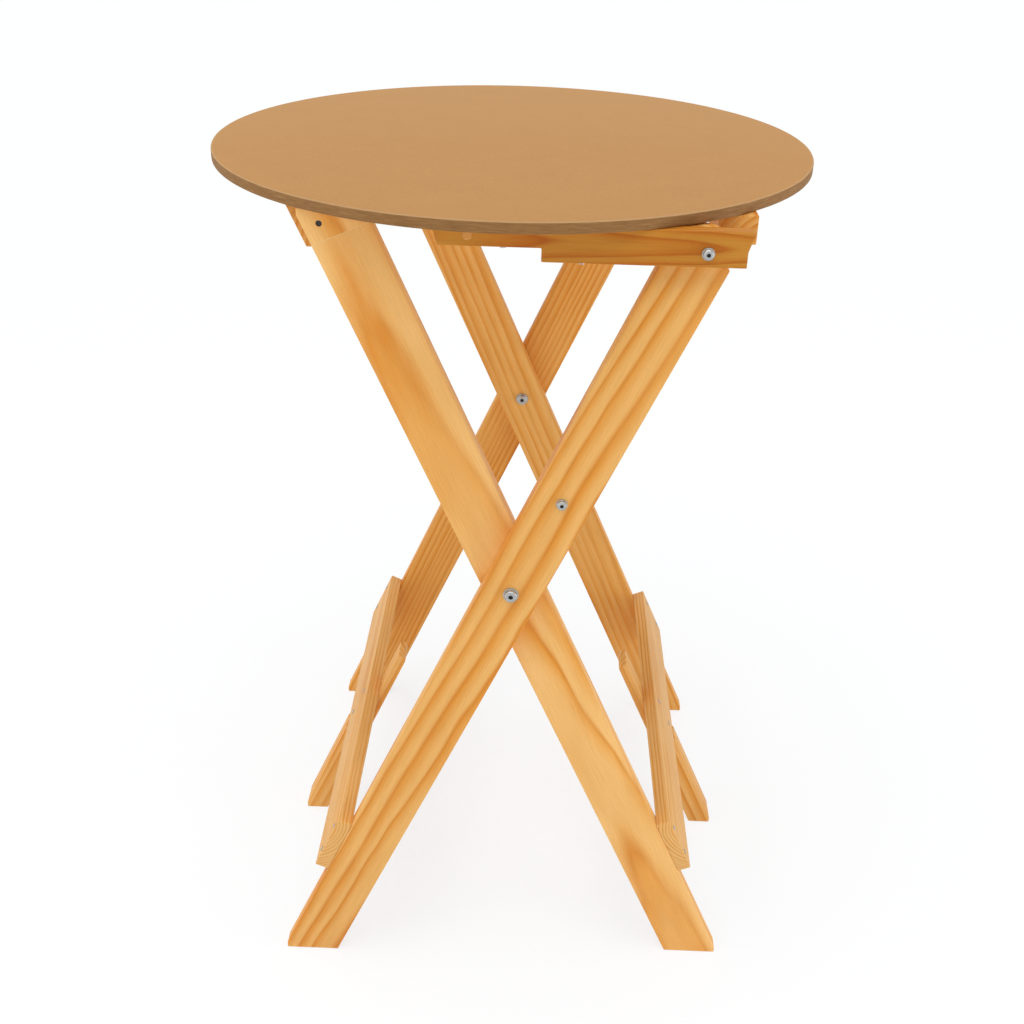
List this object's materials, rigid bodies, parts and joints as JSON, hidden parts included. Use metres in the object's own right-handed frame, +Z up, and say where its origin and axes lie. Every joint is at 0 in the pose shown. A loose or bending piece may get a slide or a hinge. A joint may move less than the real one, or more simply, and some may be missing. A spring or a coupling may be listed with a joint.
{
  "type": "folding bar table",
  "caption": "Folding bar table: a round board top hinged on crossed flat pine legs that are bolted where they cross and tied by stretchers near the feet.",
  "frame": {"origin": "on the floor, under the middle of the round top", "axes": "+Z up; +Y to the back, along the pivot line of the legs; +X to the right, towards the top's hinge"},
  "size_m": [0.6999, 0.7, 1.03],
  "materials": {
    "mdf": "raw fibreboard, matt",
    "pine": "honey-coloured clear finish, satin",
    "zinc_steel": "bright zinc plate"
  },
  "bodies": {
    "outer_frame": {"front_hinge_bolt": "zinc_steel", "front_hinge_insert": "zinc_steel", "front_hinge_washer": "zinc_steel", "front_outer_leg": "pine", "front_pivot_bolt": "zinc_steel", "front_pivot_head_washer": "zinc_steel", "front_pivot_nut": "zinc_steel", "front_pivot_nut_washer": "zinc_steel", "left_mid_foot": "pine", "left_nail_front_lower": "zinc_steel", "left_nail_front_upper": "zinc_steel", "left_nail_middle_lower": "zinc_steel", "left_nail_middle_upper": "zinc_steel", "left_nail_rear_lower": "zinc_steel", "left_nail_rear_upper": "zinc_steel", "left_stretcher": "pine", "rear_hinge_bolt": "zinc_steel", "rear_hinge_insert": "zinc_steel", "rear_hinge_washer": "zinc_steel", "rear_outer_leg": "pine", "rear_pivot_bolt": "zinc_steel", "rear_pivot_head_washer": "zinc_steel", "rear_pivot_nut": "zinc_steel", "rear_pivot_nut_washer": "zinc_steel", "stay_bolt": "zinc_steel", "stay_insert": "zinc_steel", "stay_washer": "zinc_steel"},
    "inner_frame": {"front_inner_leg": "pine", "front_rung_screw": "zinc_steel", "rear_inner_leg": "pine", "rear_rung_screw": "zinc_steel", "right_mid_foot": "pine", "right_nail_front_lower": "zinc_steel", "right_nail_front_upper": "zinc_steel", "right_nail_middle_lower": "zinc_steel", "right_nail_middle_upper": "zinc_steel", "right_nail_rear_lower": "zinc_steel", "right_nail_rear_upper": "zinc_steel", "right_stretcher": "pine", "top_rung": "pine"},
    "top": {"catch_block": "pine", "catch_block_screw_front": "zinc_steel", "catch_block_screw_rear": "zinc_steel", "front_cleat": "pine", "front_cleat_dowel": "pine", "front_cleat_screw_left": "zinc_steel", "front_cleat_screw_right": "zinc_steel", "rear_cleat": "pine", "rear_cleat_dowel": "pine", "rear_cleat_screw_left": "zinc_steel", "rear_cleat_screw_right": "zinc_steel", "right_batten": "pine", "right_batten_screw_front": "zinc_steel", "right_batten_screw_middle": "zinc_steel", "right_batten_screw_rear": "zinc_steel", "table_top": "mdf"}
  },
  "joints": [
    {"name": "top_tilt", "type": "hinge", "parent": "outer_frame", "child": "top", "pos_m": [0.20043, 0, 0.996], "axis": [0, 1, 0], "range_deg": [0, 110.4]},
    {"name": "leg_fold", "type": "hinge", "parent": "outer_frame", "child": "inner_frame", "pos_m": [0.017, 0, 0.584], "axis": [0, 1, 0], "range_deg": [0, 46.1]}
  ],
  "couplings": [
    {"joint": "leg_fold", "follows": "top_tilt", "ratio": 0.41667}
  ]
}
